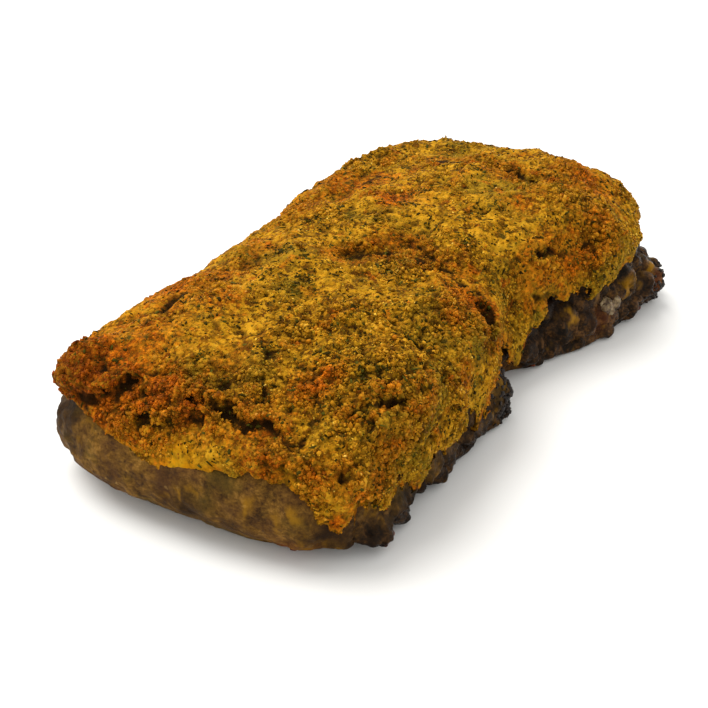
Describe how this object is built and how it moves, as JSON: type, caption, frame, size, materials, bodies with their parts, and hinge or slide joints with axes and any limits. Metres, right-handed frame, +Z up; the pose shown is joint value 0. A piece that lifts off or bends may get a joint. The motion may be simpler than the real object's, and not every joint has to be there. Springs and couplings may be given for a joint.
{
  "type": "roast beef sirloin",
  "caption": "Boneless roast beef sirloin joint with a flat underside, baked under a thick, craggy mustard, herb and breadcrumb crust that ends in a ragged edge above the bare beef.",
  "frame": {"origin": "middle of the box round the joint, at the height of its flat underside", "axes": "+X along the joint, away from the end whose bare beef shows; -Y is the joint's right side, with the waist and the charred fringe; +Z up"},
  "size_m": [0.3424, 0.1852, 0.081],
  "materials": {
    "roast_beef": "matte roasted meat with a browned, fibrous surface, darker and glossier where it is charred",
    "baked_crust": "rough golden breadcrumb and mustard crust with dark green herb flecks and browned patches"
  },
  "bodies": {
    "root": {"beef_joint": "roast_beef", "herb_crust": "baked_crust"}
  },
  "joints": []
}
